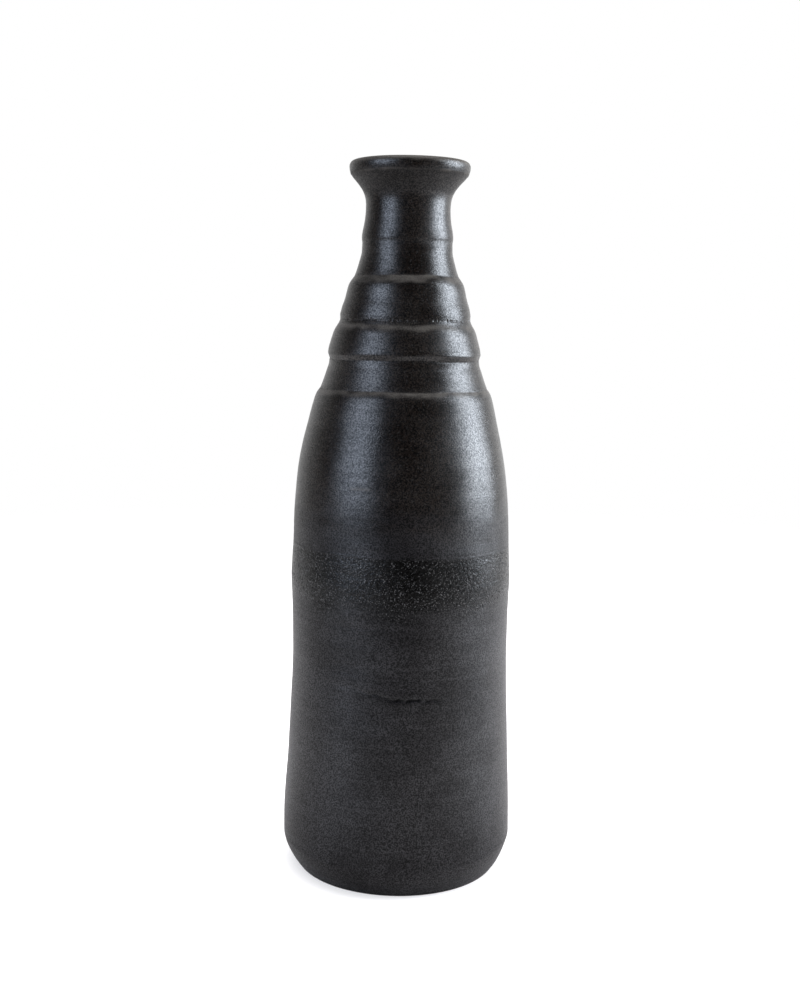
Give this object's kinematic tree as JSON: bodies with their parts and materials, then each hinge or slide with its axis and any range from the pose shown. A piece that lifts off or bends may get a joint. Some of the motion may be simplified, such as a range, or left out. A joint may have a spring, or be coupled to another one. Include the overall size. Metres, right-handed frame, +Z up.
{
  "type": "black clay bottle vase",
  "caption": "Tall hand-made black clay bottle vase with a wide body, a stepped tapering neck and a flared lip, for dried stems or display.",
  "frame": {"origin": "centre of the face that the bottle stands on", "axes": "+Z up the bottle's axis, from the foot to the rim; +X and +Y across it, with -Y the side seen in the picture"},
  "size_m": [0.1152, 0.1152, 0.35],
  "materials": {
    "matte_clay": "smoke-fired charcoal black clay, matte, with faint throwing lines",
    "pitted_clay": "rough pitted black clay with small glints",
    "burnished_clay": "smoke-fired black clay, rubbed to a satin sheen"
  },
  "bodies": {
    "root": {"foot_disc": "matte_clay", "lower_wall": "matte_clay", "middle_wall": "matte_clay", "luting_band": "pitted_clay", "shoulder_wall": "burnished_clay", "lower_ring": "burnished_clay", "middle_ring": "burnished_clay", "upper_ring": "burnished_clay", "collar": "burnished_clay", "neck": "burnished_clay", "lip": "burnished_clay"}
  },
  "joints": []
}
